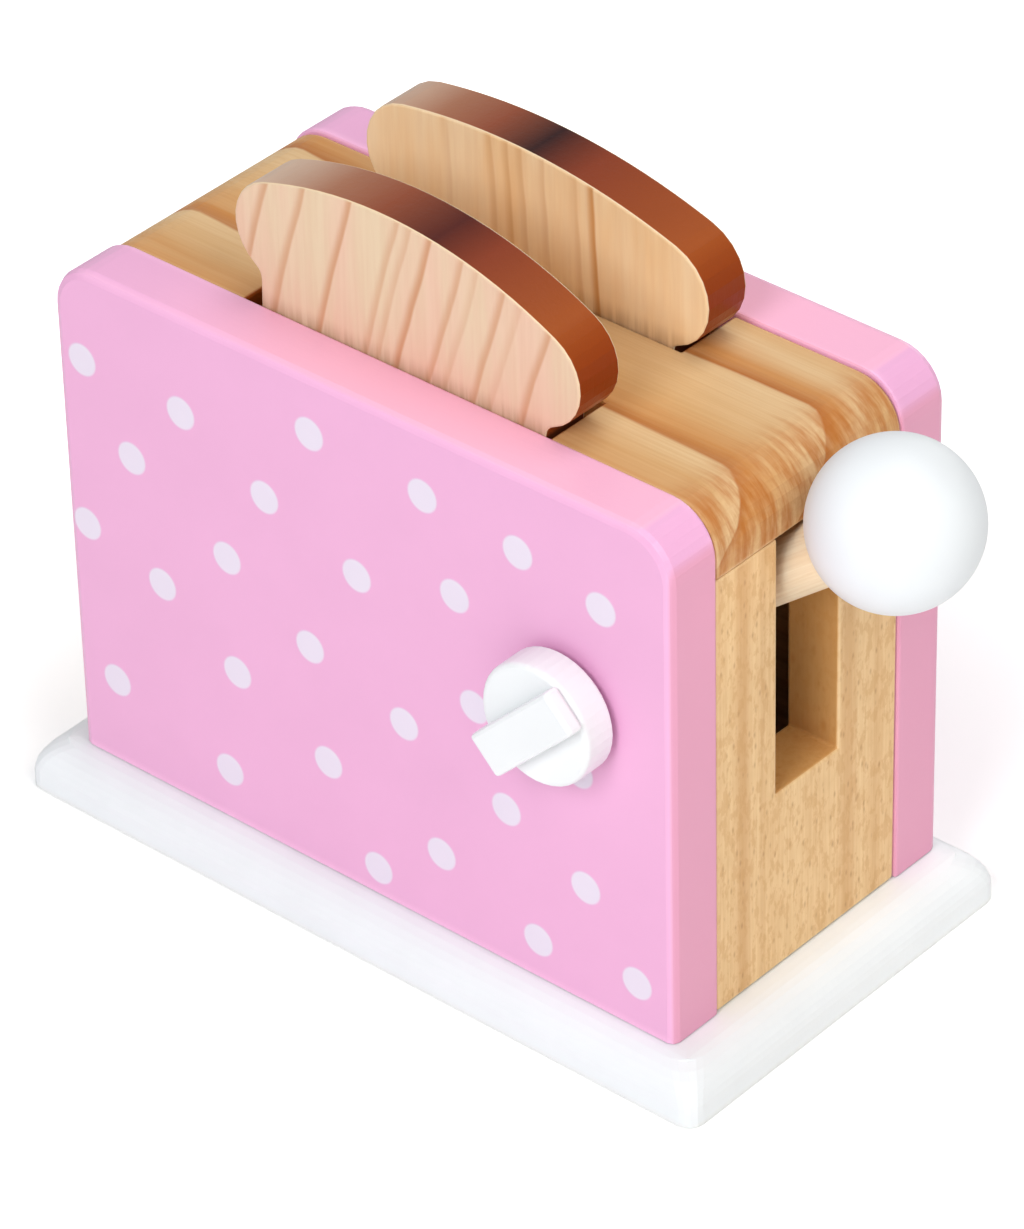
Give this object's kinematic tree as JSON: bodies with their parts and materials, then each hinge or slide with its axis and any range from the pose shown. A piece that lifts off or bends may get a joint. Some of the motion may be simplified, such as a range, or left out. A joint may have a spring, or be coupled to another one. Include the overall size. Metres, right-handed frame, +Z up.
{
  "type": "toy toaster",
  "caption": "Wooden play toaster with a painted body, toast slices that pop up with a seesaw ball lever, and a turning knob.",
  "frame": {"origin": "middle of the underside of the base board, where the toy stands", "axes": "+X along the body towards the ball lever, +Y from the knob side to the back, +Z up"},
  "size_m": [0.2091, 0.1051, 0.165],
  "materials": {
    "pink_paint": "satin pink paint with pale dots",
    "white_paint": "satin white paint",
    "ball_white_paint": "glossy white paint",
    "beech_board": "clear satin",
    "pine_cap": "clear satin",
    "beech_dowel": "bare turned wood",
    "inner_pine": "bare sawn wood",
    "toast_pine": "clear satin with a brown painted crust",
    "zinc_steel": "zinc plated"
  },
  "bodies": {
    "body": {"base_board": "white_paint", "front_board": "pink_paint", "back_board": "pink_paint", "cap_board": "pine_cap", "lever_end": "beech_board", "plain_end": "beech_board", "pivot_pin": "zinc_steel", "front_board_lever_end_dowel_1": "beech_dowel", "front_board_lever_end_dowel_2": "beech_dowel", "front_board_plain_end_dowel_1": "beech_dowel", "front_board_plain_end_dowel_2": "beech_dowel", "back_board_lever_end_dowel_1": "beech_dowel", "back_board_lever_end_dowel_2": "beech_dowel", "back_board_plain_end_dowel_1": "beech_dowel", "back_board_plain_end_dowel_2": "beech_dowel", "cap_lever_end_dowel_front": "beech_dowel", "cap_lever_end_dowel_back": "beech_dowel", "cap_plain_end_dowel_front": "beech_dowel", "cap_plain_end_dowel_back": "beech_dowel", "base_screw_front_left": "zinc_steel", "base_screw_front_right": "zinc_steel", "base_screw_back_left": "zinc_steel", "base_screw_back_right": "zinc_steel"},
    "lever": {"lever_rod": "beech_dowel", "lever_ball": "ball_white_paint", "lift_bar": "beech_dowel", "lift_bar_screw": "zinc_steel"},
    "lift": {"lift_board": "inner_pine"},
    "front_slice": {"front_toast": "toast_pine"},
    "back_slice": {"back_toast": "toast_pine"},
    "knob": {"knob_disc": "white_paint", "knob_grip": "white_paint", "knob_spacer": "zinc_steel", "knob_washer": "zinc_steel", "knob_screw": "zinc_steel"}
  },
  "joints": [
    {"name": "lever_hinge", "type": "hinge", "parent": "body", "child": "lever", "pos_m": [0.0443, 0, 0.078], "axis": [0, 1, 0], "range_deg": [0, 42.5]},
    {"name": "lift_slide", "type": "slide", "parent": "body", "child": "lift", "axis": [0, 0, 1], "range_m": [0, 0.0423]},
    {"name": "front_slice_slide", "type": "slide", "parent": "lift", "child": "front_slice", "axis": [0, 0, 1], "range_m": [0, 0.08]},
    {"name": "back_slice_slide", "type": "slide", "parent": "lift", "child": "back_slice", "axis": [0, 0, 1], "range_m": [0, 0.08]},
    {"name": "knob_turn", "type": "hinge", "parent": "body", "child": "knob", "pos_m": [0.0538, -0.042, 0.083], "axis": [0, 1, 0], "continuous": true}
  ],
  "couplings": [
    {"joint": "lift_slide", "follows": "lever_hinge", "m_per_rad": 0.0569}
  ]
}
